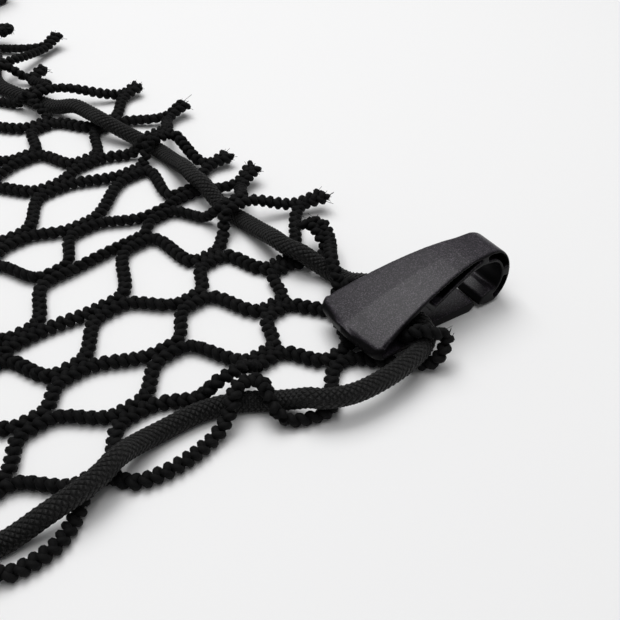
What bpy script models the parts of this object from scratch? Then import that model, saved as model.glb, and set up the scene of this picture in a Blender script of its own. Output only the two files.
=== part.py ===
"""Cargo net: a knitted diamond net with a braided border cord and a snap hook at each corner.

The net lies spread on a level surface. It is a warp-knit net: twenty-two chains of stitches,
called wales here, run along Y and are tied side by side to one neighbour and then the other,
which leaves diamonds between them. The two ends of every wale are cut, so short double
tufts stand past the cord there, and the two outer wales loop round it. X runs across the wales.
"""

import math
from typing import NamedTuple

import bmesh
import bpy
from mathutils import Matrix, Vector

MM = 0.001

# The net's grid: ties sit where the column and the row are both even or both odd.
COLUMN = 15.4
ROW = 21.8
LAST_ROW = 7  # the last row of ties inside the tufts; the cord runs along it
LAST_FREE_COLUMN = 8  # ties past this column are held by the cord
FIRST_WALE, LAST_WALE = -11, 10
STRAND_RADIUS = 2.2
TIE_SPREAD = 1.6  # from a tie's middle to each of its two strands
TIE_LENGTH = 6.4
WAVE = 1.3  # how far hidden ties stray from the even grid

CORD_RADIUS = 3.0
CORD_STEP = 10.0
CORD_BEVEL = 2

ON_FLOOR = STRAND_RADIUS
OVER_CORD = 8.8  # a strand that crosses over the cord where the cord lies low
CLIMB = 8.0  # plan length in which a strand drops from the cord to the floor
OVER_COLUMNS = (5, 1, -3, -5)  # border ties that lie over the cord; it passes over the rest
SIDE_TIE_HEIGHTS = {0: 8.2, 4: 8.2}  # ties of the selvedge that lie over the cord, by row

HOOK_AT = (159.25, 130.23)
HOOK_YAW = math.radians(81.3)


class TieRow(NamedTuple):
    """How far the ties of one row lie from the even grid, two columns apart, in mm."""

    row: int
    first_column: int
    shifts: tuple


TIE_ROWS = (
    TieRow(8, -4, ((-5.4, -23.0), (4.3, -0.8), (3.9, 1.2), (14.3, -8.4), (5.2, -9.7), (-0.5, -2.4))),
    TieRow(7, -5, ((-1.0, -15.8), (2.1, -12.4), (5.0, -1.4), (6.5, 3.4), (9.4, -8.0), (4.2, -4.8),
                   (6.3, -10.7))),
    TieRow(6, -4, ((-0.4, -8.8), (3.1, 0.2), (10.7, -1.3), (-0.7, 7.9), (-1.2, -1.9), (2.5, -4.3),
                   (7.1, -4.7), (7.7, -5.0))),
    TieRow(5, -1, ((7.2, 4.0), (3.5, 0.0), (2.9, -5.4), (-7.4, 4.6), (1.7, -0.5), (7.7, -0.4))),
    TieRow(4, 2, ((9.0, -5.4), (5.8, -4.9), (2.1, -1.0), (1.2, 1.1), (-1.9, 4.9))),
    TieRow(3, 5, ((11.9, -7.2), (5.0, -4.8), (0.3, 0.0))),
    TieRow(2, 8, ((1.1, -1.6), (-0.3, 0.3))),
    TieRow(0, 10, ((-4.0, 0.0),)),
)
SHIFTS = {
    (tie_row.first_column + 2 * place, tie_row.row): shift
    for tie_row in TIE_ROWS
    for place, shift in enumerate(tie_row.shifts)
}

# Where a tuft's tip lies from its last tie, by column: right, back and height.
TUFT_TIPS = {-4: (-2.0, 5.0, 5.0), -2: (-1.2, 6.4, 4.0), 0: (-2.5, 9.0, 5.0),
             2: (1.5, 7.0, 4.0), 4: (-3.6, 8.0, 6.0), 6: (3.5, 7.5, 6.0)}

# The four wales nearest a corner leave the grid there. Each run starts past the named row.
CORNER_RUNS = {
    7: (7, ((118.5, 149.5, 2.2), (120.4, 154.2, 2.6), (119.8, 157.8, 5.0), (115.8, 158.8, 7.6),
            (110.8, 159.6, 8.9), (107.8, 157.4, 9.6))),
    8: (6, ((137.4, 134.0, 2.2), (141.5, 137.0, 2.2), (144.8, 138.6, 2.2), (145.0, 141.2, 2.2),
            (143.0, 143.0, 2.4), (140.4, 144.2, 4.4), (138.9, 145.8, 7.0), (136.6, 147.1, 8.8),
            (132.8, 149.2, 9.4), (129.3, 151.6, 9.6), (125.0, 155.2, 8.8), (121.5, 158.3, 8.0),
            (117.0, 161.3, 8.2), (112.5, 163.0, 9.2), (108.5, 161.0, 9.8))),
    9: (6, ((156.9, 133.0, 2.2), (151.5, 135.4, 2.2), (148.2, 138.0, 2.2), (147.4, 141.0, 2.2),
            (143.1, 144.8, 2.2), (141.6, 146.2, 4.8), (141.6, 147.3, 7.8), (143.4, 147.2, 8.6),
            (145.8, 146.8, 8.5), (149.0, 146.3, 8.4), (157.5, 144.9, 8.3), (166.0, 143.8, 8.35),
            (172.0, 143.0, 8.5), (173.9, 142.2, 8.8), (175.2, 141.6, 11.3), (177.0, 142.4, 12.9),
            (179.2, 144.2, 13.3), (181.3, 146.6, 12.2), (181.4, 149.2, 11.2))),
    10: (0, ((157.4, 6.4, 9.4), (162.2, 8.4, 5.7), (165.2, 12.0, 2.2), (166.3, 18.4, 2.2),
             (165.5, 26.0, 2.2), (161.6, 33.2, 2.2), (155.5, 40.5, 2.2), (155.3, 47.1, 2.2),
             (161.2, 50.9, 2.2), (163.9, 58.0, 2.2), (164.4, 67.0, 2.2), (163.2, 75.4, 2.2),
             (161.0, 83.0, 4.9), (158.2, 87.6, 8.9), (156.2, 91.0, 8.8), (157.0, 95.0, 8.8),
             (160.2, 96.3, 9.2), (164.8, 94.6, 8.6), (168.9, 94.2, 5.3), (172.1, 96.8, 2.5),
             (175.1, 102.2, 2.2), (176.4, 107.0, 2.2), (173.5, 111.6, 2.2), (168.3, 115.8, 2.2),
             (164.4, 120.6, 2.2), (163.7, 126.0, 2.2), (166.8, 130.2, 2.2), (170.6, 132.6, 2.2),
             (173.8, 135.4, 2.2), (176.4, 138.0, 2.2), (179.2, 141.0, 2.2), (182.1, 143.4, 2.8),
             (183.5, 145.3, 4.9), (183.6, 147.3, 7.1), (182.8, 149.2, 8.6), (181.6, 151.0, 9.2))),
}
MIRRORED_WALES = tuple(-1 - wale for wale in CORNER_RUNS)

# The border cord's route, drawn by hand: along the back from the left, then through the hook at the
# right and down the right side. The left side mirrors the right one, and the front half the back.
CORD_BACK = (
    (-88.0, 141.4, 3.8), (-78.0, 136.6, 3.1), (-67.0, 135.2, 3.1), (-51.0, 138.9, 3.1),
    (-36.0, 142.4, 3.8), (-24.0, 145.6, 7.7), (-14.0, 146.8, 8.1), (-5.0, 147.6, 8.0),
    (4.7, 151.0, 5.4), (14.0, 154.4, 3.2), (24.0, 155.2, 3.1), (37.9, 153.6, 4.6),
    (48.0, 150.8, 7.9), (55.5, 149.3, 8.1), (62.5, 148.9, 7.9),
    (71.0, 148.6, 4.6), (79.0, 148.8, 3.1), (87.0, 149.0, 3.4),
)
CORD_CORNER = (
    (98.5, 147.6, 5.6), (107.0, 146.0, 8.0), (113.0, 145.8, 8.1), (119.4, 147.2, 8.0),
    (126.0, 150.2, 4.6), (132.0, 151.9, 3.2), (138.0, 152.4, 3.9), (143.0, 153.0, 6.1),
    (148.0, 153.2, 7.5), (154.0, 152.6, 7.5), (160.0, 151.8, 7.5), (166.0, 151.0, 7.6),
    (172.0, 150.4, 7.9), (177.0, 146.9, 7.4), (179.3, 142.6, 7.6), (180.4, 139.2, 7.9),
    (181.3, 133.2, 8.0), (181.5, 127.1, 7.9), (181.2, 120.3, 7.9), (180.2, 114.4, 7.9),
    (178.3, 109.5, 8.0), (175.4, 105.3, 7.9), (172.3, 103.2, 7.5), (168.6, 101.2, 5.5),
    (162.6, 97.0, 3.1), (157.1, 90.0, 3.1), (152.9, 79.4, 3.1),
    (151.7, 66.2, 3.1), (153.0, 57.4, 5.2), (155.8, 50.2, 8.0), (158.2, 43.4, 8.1),
    (159.4, 35.6, 8.1), (158.6, 27.0, 6.2), (157.0, 17.0, 3.1), (155.8, 6.0, 3.1),
)


class Point(NamedTuple):
    """A point of the hook in its own frame: along it from its wide end, and up from the floor."""

    along: float
    up: float


HOOK_TALL = 1.17  # raises every height of the side outline below, which is drawn flatter
HOOK_RIDGE = 1.3
HOOK_KEEL = 1.1  # how far the lower plate's wide end rises from its middle to its sides
HOOK_ARC_CENTRE = Point(50.0, 9.8)
HOOK_ARC_RADIUS = 9.8
HOOK_MOUTH_RADIUS = 5.6
HOOK_CORNER = 3.0
HOOK_ARC_STEPS = 10
HOOK_DEPTH = 20.0  # half the extrusion, wider than the hook
TONGUE_HALF_WIDTH = 6.0
SLOT_WEB = 1.5  # half the wall left between the recesses of the two sides
CHAMBER = (Point(16.0, 12.4), Point(9.0, 10.4), Point(2.5, 8.3), Point(2.5, 6.5), Point(27.0, 2.1))
MOUTH_ROOF = (Point(47.5, 15.7), Point(43.8, 14.9), Point(38.3, 14.0), Point(31.7, 12.7), Point(25.6, 10.3),
              Point(24.6, 10.6), Point(21.0, 13.8))
TONGUE = (Point(46.0, 3.2), Point(46.9, 1.4), Point(44.6, 0.0), Point(27.0, 0.0), Point(0.0, 5.7))
LIP = (Point(47.4, 0.2), Point(49.0, 3.3), Point(52.2, 5.0))
LONG_SLOT = (Point(22.4, 14.6), Point(25.8, 11.4), Point(47.2, 17.1), Point(46.5, 18.2))
ARC_SLOTS = ((98.0, 15.0), (-7.0, -75.0))  # degrees about the arc's centre
ARC_SLOT_RADII = (7.0, 8.6)


def clear_scene():
    """Empties the scene, so that it holds only what this script makes."""
    for scene_object in list(bpy.data.objects):
        bpy.data.objects.remove(scene_object, do_unlink=True)


def new_collection(name):
    collection = bpy.data.collections.new(name)
    bpy.context.scene.collection.children.link(collection)
    return collection


def new_material(name, colour, roughness):
    material = bpy.data.materials.new(name)
    material.use_nodes = True
    shader = material.node_tree.nodes["Principled BSDF"]
    shader.inputs["Base Color"].default_value = (*colour, 1.0)
    shader.inputs["Roughness"].default_value = roughness
    shader.inputs["Metallic"].default_value = 0.0
    return material


def tie_place(column, row):
    """The middle of a tie in plan. The front half mirrors the back, and hidden ties stray a little."""
    outward = math.copysign(1.0, row)
    right, back = column * COLUMN, row * ROW
    if (column, abs(row)) in SHIFTS:
        shift = SHIFTS[column, abs(row)]
        right, back = right + shift[0], back + outward * shift[1]
    elif (-column, abs(row)) in SHIFTS:
        shift = SHIFTS[-column, abs(row)]
        right, back = right - shift[0], back + outward * shift[1]
    if (column, row) in SHIFTS or abs(column) > LAST_FREE_COLUMN or abs(row) >= LAST_ROW:
        return right, back
    right += WAVE * math.sin(0.9 * column + 1.7 * row)
    back += WAVE * math.cos(1.6 * column - 0.8 * row)
    return right, back


def tie_height(column, row):
    if abs(row) == LAST_ROW and column in OVER_COLUMNS:
        return OVER_CORD
    if abs(column) == LAST_WALE:
        return SIDE_TIE_HEIGHTS.get(abs(row), ON_FLOOR)
    return ON_FLOOR


def tie_points(wale, row):
    """Where one wale runs through its tie in a row: two points along Y, front one first."""
    column = wale if (wale + row) % 2 == 0 else wale + 1
    right, back = tie_place(column, row)
    right += TIE_SPREAD if wale == column else -TIE_SPREAD
    height = tie_height(column, row)
    return [Vector((right, back - TIE_LENGTH / 2, height)), Vector((right, back + TIE_LENGTH / 2, height))]


def tuft_points(wale, row):
    """The cut end of a wale past its last tie. The two strands of a tuft end side by side."""
    column = wale if (wale + row) % 2 == 0 else wale + 1
    side = 1 if wale == column else -1
    tip = TUFT_TIPS.get(column) or TUFT_TIPS[abs(column)]
    lean = tip[0] if column in TUFT_TIPS else -tip[0]
    right, back = tie_place(column, row)
    outward = math.copysign(1.0, row)
    root = Vector((right + side * TIE_SPREAD, back - outward * TIE_LENGTH / 2, (ON_FLOOR + tip[2]) / 2))
    end = Vector((right + lean + side * TIE_SPREAD, back + outward * tip[1], tip[2]))
    return [root, end]


def with_climbs(points):
    """Adds a point on the floor beside each stretch that lies over the cord."""
    path = [points[0]]
    for start, end in zip(points, points[1:]):
        run = (end - start).to_2d().length
        climbs = abs(end.z - start.z) > CLIMB / 2 and run > 2 * CLIMB
        if climbs and start.z > end.z:
            path.append(start.lerp(end, CLIMB / run))
            path[-1].z = end.z
        elif climbs:
            path.append(end.lerp(start, CLIMB / run))
            path[-1].z = start.z
        path.append(end)
    return path


def mirrored(points, across):
    """The points with X or Y turned round, in the same order."""
    return [Vector((-x, y, z)) if across == "X" else Vector((x, -y, z)) for x, y, z in points]


def wale_path(wale):
    """One wale from its front tuft to its back tuft."""
    if wale in MIRRORED_WALES:
        return mirrored(wale_path(-1 - wale), "X")
    if wale not in CORNER_RUNS:
        rows = range(-LAST_ROW, LAST_ROW + 1)
        ties = [point for row in rows for point in tie_points(wale, row)]
        front = tuft_points(wale, -LAST_ROW - 1)
        return front[::-1] + with_climbs(ties) + tuft_points(wale, LAST_ROW + 1)
    last, run = CORNER_RUNS[wale]
    ties = [point for row in range(-last, last + 1) for point in tie_points(wale, row)]
    run = [Vector(point) for point in run]
    return mirrored(run, "Y")[::-1] + with_climbs(ties) + run


def smooth_route(route, step):
    """Points about a step apart on a smooth closed curve through the points of a route."""
    points = []
    for place, start in enumerate(route):
        before, end, after = route[place - 1], route[(place + 1) % len(route)], route[(place + 2) % len(route)]
        count = max(1, round((end - start).length / step))
        for part in range(count):
            t = part / count
            points.append(
                (start * 2 + (end - before) * t + (before * 2 - start * 5 + end * 4 - after) * t**2
                 + (start * 3 - before - end * 3 + after) * t**3) / 2
            )
    return points


def cord_route():
    """The whole border cord, clockwise from the middle of the left side."""
    corner = [Vector(point) for point in CORD_CORNER]
    back = mirrored(corner, "X")[::-1] + [Vector(point) for point in CORD_BACK] + corner
    return back + mirrored(back, "Y")[::-1]


def tube_curve(name, points, radius, bevel, closed=False):
    curve = bpy.data.curves.new(name, "CURVE")
    curve.dimensions = "3D"
    curve.bevel_depth = radius * MM
    curve.bevel_resolution = bevel
    curve.use_fill_caps = not closed
    spline = curve.splines.new("POLY")
    spline.points.add(len(points) - 1)
    for spline_point, point in zip(spline.points, points):
        spline_point.co = (*(point * MM), 1.0)
    spline.use_cyclic_u = closed
    return bpy.data.objects.new(name, curve)


def as_mesh(source, collection):
    """A mesh object in place of a curve or of an object with modifiers, with its doubles merged."""
    graph = bpy.context.evaluated_depsgraph_get()
    mesh = bpy.data.meshes.new_from_object(source.evaluated_get(graph))
    solid = bmesh.new()
    solid.from_mesh(mesh)
    bmesh.ops.remove_doubles(solid, verts=solid.verts, dist=1e-6)
    bmesh.ops.recalc_face_normals(solid, faces=solid.faces)
    solid.to_mesh(mesh)
    solid.free()
    name, place = source.name, source.matrix_world.copy()
    bpy.data.objects.remove(source, do_unlink=True)
    made = bpy.data.objects.new(name, mesh)
    mesh.name = name
    made.matrix_world = place
    collection.objects.link(made)
    return made


def hide_helper(helper):
    helper.hide_render = True
    helper.display_type = "WIRE"


def build_net(parts, cutters, material):
    """All wales, each a strand of its own, joined into one body at their ties."""
    strands = new_collection("wales")
    for wale in range(FIRST_WALE + 1, LAST_WALE + 1):
        strand = tube_curve(f"wale_{wale}", wale_path(wale), STRAND_RADIUS, 0)
        cutters.objects.link(strand)
        hide_helper(as_mesh(strand, strands))
    net = tube_curve("net", wale_path(FIRST_WALE), STRAND_RADIUS, 0)
    cutters.objects.link(net)
    net = as_mesh(net, cutters)
    join = net.modifiers.new("join_wales", "BOOLEAN")
    join.operation = "UNION"
    join.operand_type = "COLLECTION"
    join.collection = strands
    bpy.context.view_layer.update()
    net = as_mesh(net, parts)
    for strand in list(strands.objects):
        bpy.data.objects.remove(strand, do_unlink=True)
    bpy.data.collections.remove(strands)
    net.data.materials.append(material)
    return net


def build_cord(parts, material):
    """The border cord, a closed ring of braid."""
    cord = tube_curve("border_cord", smooth_route(cord_route(), CORD_STEP), CORD_RADIUS, CORD_BEVEL, closed=True)
    cord.data.materials.append(material)
    cord.data.splines[0].use_smooth = True
    parts.objects.link(cord)
    return cord


def arc(centre, radius, start, end, steps):
    """Points on a circle in the hook's side view, with the angles in degrees."""
    angles = (math.radians(start + (end - start) * step / steps) for step in range(steps + 1))
    return [Point(centre.along + radius * math.cos(a), centre.up + radius * math.sin(a)) for a in angles]


def hook_top(along):
    """Height of the hook's long upper edge."""
    return 8.68 + 0.3837 * along - 0.00343 * along**2


def hook_half_width(along):
    """Half width of the hook in plan: a long taper that ends in a nearly even snout."""
    return max(15.36 - 0.2027 * along + 0.000264 * along**2, 6.7 - 0.02 * (along - 40.0))


def hook_side_outline():
    """The hook seen from the side: one C-shaped outline, with the mouth's slit at the lip."""
    top = [Point(along, hook_top(along)) for along in (0.0, 10.0, 20.0, 30.0, 40.0, 46.0)]
    nose = arc(HOOK_ARC_CENTRE, HOOK_ARC_RADIUS, 92.0, -90.0, HOOK_ARC_STEPS)
    mouth = arc(HOOK_ARC_CENTRE, HOOK_MOUTH_RADIUS, -50.0, 90.0, HOOK_ARC_STEPS)
    return [*top, *nose, *LIP, *mouth, *MOUTH_ROOF, *CHAMBER, *TONGUE]


def hook_plan_outline():
    """The hook seen from above, with its two wide corners rounded."""
    corner_steps = 3
    centre = Point(HOOK_CORNER, hook_half_width(0.0) - HOOK_CORNER)
    near = arc(centre, HOOK_CORNER, 180.0, 96.0, corner_steps)
    near += [Point(along, hook_half_width(along)) for along in (24.0, 44.0, 54.0, 62.0)]
    far = [Point(point.along, -point.up) for point in reversed(near)]
    return near + far


def prism(name, outlines, half_depth, collection):
    """Flat outlines extruded to both sides of their plane."""
    curve = bpy.data.curves.new(name, "CURVE")
    curve.dimensions = "2D"
    curve.fill_mode = "BOTH"
    curve.extrude = half_depth * MM
    for outline in outlines:
        spline = curve.splines.new("POLY")
        spline.points.add(len(outline) - 1)
        for spline_point, point in zip(spline.points, outline):
            spline_point.co = (point.along * MM, point.up * MM, 0.0, 1.0)
        spline.use_cyclic_u = True
    made = bpy.data.objects.new(name, curve)
    collection.objects.link(made)
    return as_mesh(made, collection)


def turn_upright(solid):
    """Turns a prism so that its outline stands in the XZ plane, and keeps that in its mesh."""
    solid.data.transform(Matrix.Rotation(math.radians(90.0), 4, "X"))


def cut(solid, cutter, operation):
    hide_helper(cutter)
    boolean = solid.modifiers.new(cutter.name, "BOOLEAN")
    boolean.operation = operation
    boolean.object = cutter


def slot_cutter(side, cutters):
    """The three recesses that are moulded into one side of the hook."""
    inner, outer = ARC_SLOT_RADII
    slots = [list(LONG_SLOT)]
    for start, end in ARC_SLOTS:
        rim = arc(HOOK_ARC_CENTRE, outer, start, end, HOOK_ARC_STEPS // 2)
        slots.append(rim + arc(HOOK_ARC_CENTRE, inner, end, start, HOOK_ARC_STEPS // 2))
    cutter = prism(f"slots_{side:+d}", slots, HOOK_DEPTH / 2, cutters)
    turn_upright(cutter)
    cutter.location.y = side * (SLOT_WEB + HOOK_DEPTH / 2) * MM
    return cutter


def tongue_trimmer(side, cutters):
    """Takes the tongue in to its own width beside one side of the hook's arm."""
    outline = [Point(27.0, -1.0), Point(47.2, -1.0), Point(47.2, 3.3), Point(46.0, 6.5), Point(27.0, 6.5)]
    trimmer = prism(f"tongue_side_{side:+d}", [outline], HOOK_DEPTH / 2, cutters)
    turn_upright(trimmer)
    trimmer.location.y = side * (TONGUE_HALF_WIDTH + HOOK_DEPTH / 2) * MM
    return trimmer


def raise_ridge(mesh):
    """Parts the hook along its middle, with a shallow roof on top and a shallow keel at its wide end."""
    solid = bmesh.new()
    solid.from_mesh(mesh)
    geometry = solid.verts[:] + solid.edges[:] + solid.faces[:]
    bmesh.ops.bisect_plane(solid, geom=geometry, plane_co=(0, 0, 0), plane_no=(0, 1, 0), dist=1e-7)
    for vertex in solid.verts:
        along, up = vertex.co.x / MM, vertex.co.z / MM
        fade = 1.0 - along / HOOK_ARC_CENTRE.along
        if abs(vertex.co.y) < 1e-6 and fade > 0.0 and up > hook_top(along) - 0.4:
            vertex.co.z += HOOK_RIDGE * fade * MM
        if along < HOOK_CORNER + 0.1 and up < CHAMBER[2].up - 0.5:
            vertex.co.z += HOOK_KEEL * abs(vertex.co.y) / hook_half_width(0.0)
    solid.to_mesh(mesh)
    solid.free()


def hook_mesh(cutters):
    """The snap hook in its own frame: X along it, Z up from the floor, Y across it."""
    hook = prism("hook", [hook_side_outline()], HOOK_DEPTH, cutters)
    turn_upright(hook)
    plan = prism("hook_plan", [hook_plan_outline()], 2 * HOOK_DEPTH, cutters)
    cut(hook, plan, "INTERSECT")
    for side in (-1, 1):
        cut(hook, tongue_trimmer(side, cutters), "DIFFERENCE")
    bpy.context.view_layer.update()
    hook = as_mesh(hook, cutters)
    raise_ridge(hook.data)
    for side in (-1, 1):
        cut(hook, slot_cutter(side, cutters), "DIFFERENCE")
    bpy.context.view_layer.update()
    hook = as_mesh(hook, cutters)
    mesh = hook.data
    mesh.transform(Matrix.Diagonal((1.0, 1.0, HOOK_TALL, 1.0)))
    bpy.data.objects.remove(hook, do_unlink=True)
    for cutter in list(cutters.objects):
        bpy.data.objects.remove(cutter, do_unlink=True)
    return mesh


def build_hooks(parts, cutters, material):
    """One hook for each corner. The hook is even about its own middle, so a turn mirrors it."""
    mesh = hook_mesh(cutters)
    mesh.materials.append(material)
    mesh.shade_smooth()
    mesh.set_sharp_from_angle(angle=math.radians(25.0))
    for back, depth_name in ((1, "back"), (-1, "front")):
        for right, side_name in ((1, "right"), (-1, "left")):
            hook = bpy.data.objects.new(f"hook_{depth_name}_{side_name}", mesh)
            hook.location = (right * HOOK_AT[0] * MM, back * HOOK_AT[1] * MM, 0.0)
            hook.rotation_euler.z = math.atan2(back * math.sin(HOOK_YAW), right * math.cos(HOOK_YAW))
            parts.objects.link(hook)


def main():
    clear_scene()
    parts = new_collection("cargo_net")
    cutters = new_collection("cutters")
    knit = new_material("knitted_black_yarn", (0.012, 0.012, 0.013), 0.85)
    braid = new_material("braided_black_cord", (0.016, 0.016, 0.017), 0.75)
    plastic = new_material("charcoal_plastic", (0.035, 0.036, 0.040), 0.5)
    build_net(parts, cutters, knit)
    build_cord(parts, braid)
    build_hooks(parts, cutters, plastic)


main()
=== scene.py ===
"""Looks of a knitted cargo net: knitted wales, a braided border cord and four moulded snap hooks.

Everything is laid out in millimetres in the part's own frame and turned into metres where a mesh is made.
X runs across the wales, Y along them and Z up from the surface that the net lies on.
"""

from __future__ import annotations

import logging
import math
import random
from dataclasses import dataclass, field, replace
from enum import Enum
from functools import partialmethod
from typing import Any, Iterable, NamedTuple, Sequence

import bmesh
import bpy
from bpy.types import Material, Mesh, MeshVertex, Node, NodeSocket, Object
from mathutils import Matrix, Vector


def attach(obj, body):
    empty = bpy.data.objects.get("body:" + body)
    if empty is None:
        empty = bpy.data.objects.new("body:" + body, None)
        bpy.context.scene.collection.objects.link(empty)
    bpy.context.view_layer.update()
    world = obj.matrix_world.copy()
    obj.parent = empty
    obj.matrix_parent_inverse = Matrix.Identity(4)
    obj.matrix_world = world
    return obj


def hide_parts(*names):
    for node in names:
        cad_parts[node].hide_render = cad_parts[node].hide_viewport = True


LOG = logging.getLogger("cargo_net")
MM = 0.001
ROOT = "root"
QUARTERS = (0.0, 0.25, 0.5, 0.75, 1.0)
Pair = tuple[float, float]
Triple = tuple[float, float, float]
Colour = Triple

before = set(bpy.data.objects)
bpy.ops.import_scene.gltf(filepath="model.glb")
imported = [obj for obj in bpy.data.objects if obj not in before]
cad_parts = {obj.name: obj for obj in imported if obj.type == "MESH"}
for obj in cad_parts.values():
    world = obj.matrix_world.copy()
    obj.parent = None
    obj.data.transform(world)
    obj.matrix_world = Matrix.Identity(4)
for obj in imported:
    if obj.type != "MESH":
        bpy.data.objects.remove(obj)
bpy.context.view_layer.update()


# --------------- routes of the net and the cord


class TieRow(NamedTuple):
    """How far the ties of one row lie from the even grid, two columns apart, in mm."""

    row: int
    first_column: int
    shifts: tuple[Pair, ...]


TIE_ROWS = (
    TieRow(8, -4, ((-5.4, -23.0), (4.3, -0.8), (3.9, 1.2), (14.3, -8.4), (5.2, -9.7), (-0.5, -2.4))),
    TieRow(7, -5, ((-1.0, -15.8), (2.1, -12.4), (5.0, -1.4), (6.5, 3.4), (9.4, -8.0), (4.2, -4.8),
                   (6.3, -10.7))),
    TieRow(6, -4, ((-0.4, -8.8), (3.1, 0.2), (10.7, -1.3), (-0.7, 7.9), (-1.2, -1.9), (2.5, -4.3),
                   (7.1, -4.7), (7.7, -5.0))),
    TieRow(5, -1, ((7.2, 4.0), (3.5, 0.0), (2.9, -5.4), (-7.4, 4.6), (1.7, -0.5), (7.7, -0.4))),
    TieRow(4, 2, ((9.0, -5.4), (5.8, -4.9), (2.1, -1.0), (1.2, 1.1), (-1.9, 4.9))),
    TieRow(3, 5, ((11.9, -7.2), (5.0, -4.8), (0.3, 0.0))),
    TieRow(2, 8, ((1.1, -1.6), (-0.3, 0.3))),
    TieRow(0, 10, ((-4.0, 0.0),)),
)

TUFT_TIPS = {-4: (-2.0, 5.0, 5.0), -2: (-1.2, 6.4, 4.0), 0: (-2.5, 9.0, 5.0),
             2: (1.5, 7.0, 4.0), 4: (-3.6, 8.0, 6.0), 6: (3.5, 7.5, 6.0)}

CORNER_RUNS = {
    7: (7, ((118.5, 149.5, 2.2), (120.4, 154.2, 2.6), (119.8, 157.8, 5.0), (115.8, 158.8, 7.6),
            (110.8, 159.6, 8.9), (107.8, 157.4, 9.6))),
    8: (6, ((137.4, 134.0, 2.2), (141.5, 137.0, 2.2), (144.8, 138.6, 2.2), (145.0, 141.2, 2.2),
            (143.0, 143.0, 2.4), (140.4, 144.2, 4.4), (138.9, 145.8, 7.0), (136.6, 147.1, 8.8),
            (132.8, 149.2, 9.4), (129.3, 151.6, 9.6), (125.0, 155.2, 8.8), (121.5, 158.3, 8.0),
            (117.0, 161.3, 8.2), (112.5, 163.0, 9.2), (108.5, 161.0, 9.8))),
    9: (6, ((156.9, 133.0, 2.2), (151.5, 135.4, 2.2), (148.2, 138.0, 2.2), (147.4, 141.0, 2.2),
            (143.1, 144.8, 2.2), (141.6, 146.2, 4.8), (141.6, 147.3, 7.8), (143.4, 147.2, 8.6),
            (145.8, 146.8, 8.5), (149.0, 146.3, 8.4), (157.5, 144.9, 8.3), (166.0, 143.8, 8.35),
            (172.0, 143.0, 8.5), (173.9, 142.2, 8.8), (175.2, 141.6, 11.3), (177.0, 142.4, 12.9),
            (179.2, 144.2, 13.3), (181.3, 146.6, 12.2), (181.4, 149.2, 11.2))),
    10: (0, ((157.4, 6.4, 9.4), (162.2, 8.4, 5.7), (165.2, 12.0, 2.2), (166.3, 18.4, 2.2),
             (165.5, 26.0, 2.2), (161.6, 33.2, 2.2), (155.5, 40.5, 2.2), (155.3, 47.1, 2.2),
             (161.2, 50.9, 2.2), (163.9, 58.0, 2.2), (164.4, 67.0, 2.2), (163.2, 75.4, 2.2),
             (161.0, 83.0, 4.9), (158.2, 87.6, 8.9), (156.2, 91.0, 8.8), (157.0, 95.0, 8.8),
             (160.2, 96.3, 9.2), (164.8, 94.6, 8.6), (168.9, 94.2, 5.3), (172.1, 96.8, 2.5),
             (175.1, 102.2, 2.2), (176.4, 107.0, 2.2), (173.5, 111.6, 2.2), (168.3, 115.8, 2.2),
             (164.4, 120.6, 2.2), (163.7, 126.0, 2.2), (166.8, 130.2, 2.2), (170.6, 132.6, 2.2),
             (173.8, 135.4, 2.2), (176.4, 138.0, 2.2), (179.2, 141.0, 2.2), (182.1, 143.4, 2.8),
             (183.5, 145.3, 4.9), (183.6, 147.3, 7.1), (182.8, 149.2, 8.6), (181.6, 151.0, 9.2))),
}

CORD_BACK = (
    (-88.0, 141.4, 3.8), (-78.0, 136.6, 3.1), (-67.0, 135.2, 3.1), (-51.0, 138.9, 3.1),
    (-36.0, 142.4, 3.8), (-24.0, 145.6, 7.7), (-14.0, 146.8, 8.1), (-5.0, 147.6, 8.0),
    (4.7, 151.0, 5.4), (14.0, 154.4, 3.2), (24.0, 155.2, 3.1), (37.9, 153.6, 4.6),
    (48.0, 150.8, 7.9), (55.5, 149.3, 8.1), (62.5, 148.9, 7.9),
    (71.0, 148.6, 4.6), (79.0, 148.8, 3.1), (87.0, 149.0, 3.4),
)
CORD_CORNER = (
    (98.5, 147.6, 5.6), (107.0, 146.0, 8.0), (113.0, 145.8, 8.1), (119.4, 147.2, 8.0),
    (126.0, 150.2, 4.6), (132.0, 151.9, 3.2), (138.0, 152.4, 3.9), (143.0, 153.0, 6.1),
    (148.0, 153.2, 7.5), (154.0, 152.6, 7.5), (160.0, 151.8, 7.5), (166.0, 151.0, 7.6),
    (172.0, 150.4, 7.9), (177.0, 146.9, 7.4), (179.3, 142.6, 7.6), (180.4, 139.2, 7.9),
    (181.3, 133.2, 8.0), (181.5, 127.1, 7.9), (181.2, 120.3, 7.9), (180.2, 114.4, 7.9),
    (178.3, 109.5, 8.0), (175.4, 105.3, 7.9), (172.3, 103.2, 7.5), (168.6, 101.2, 5.5),
    (162.6, 97.0, 3.1), (157.1, 90.0, 3.1), (152.9, 79.4, 3.1),
    (151.7, 66.2, 3.1), (153.0, 57.4, 5.2), (155.8, 50.2, 8.0), (158.2, 43.4, 8.1),
    (159.4, 35.6, 8.1), (158.6, 27.0, 6.2), (157.0, 17.0, 3.1), (155.8, 6.0, 3.1),
)


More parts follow.
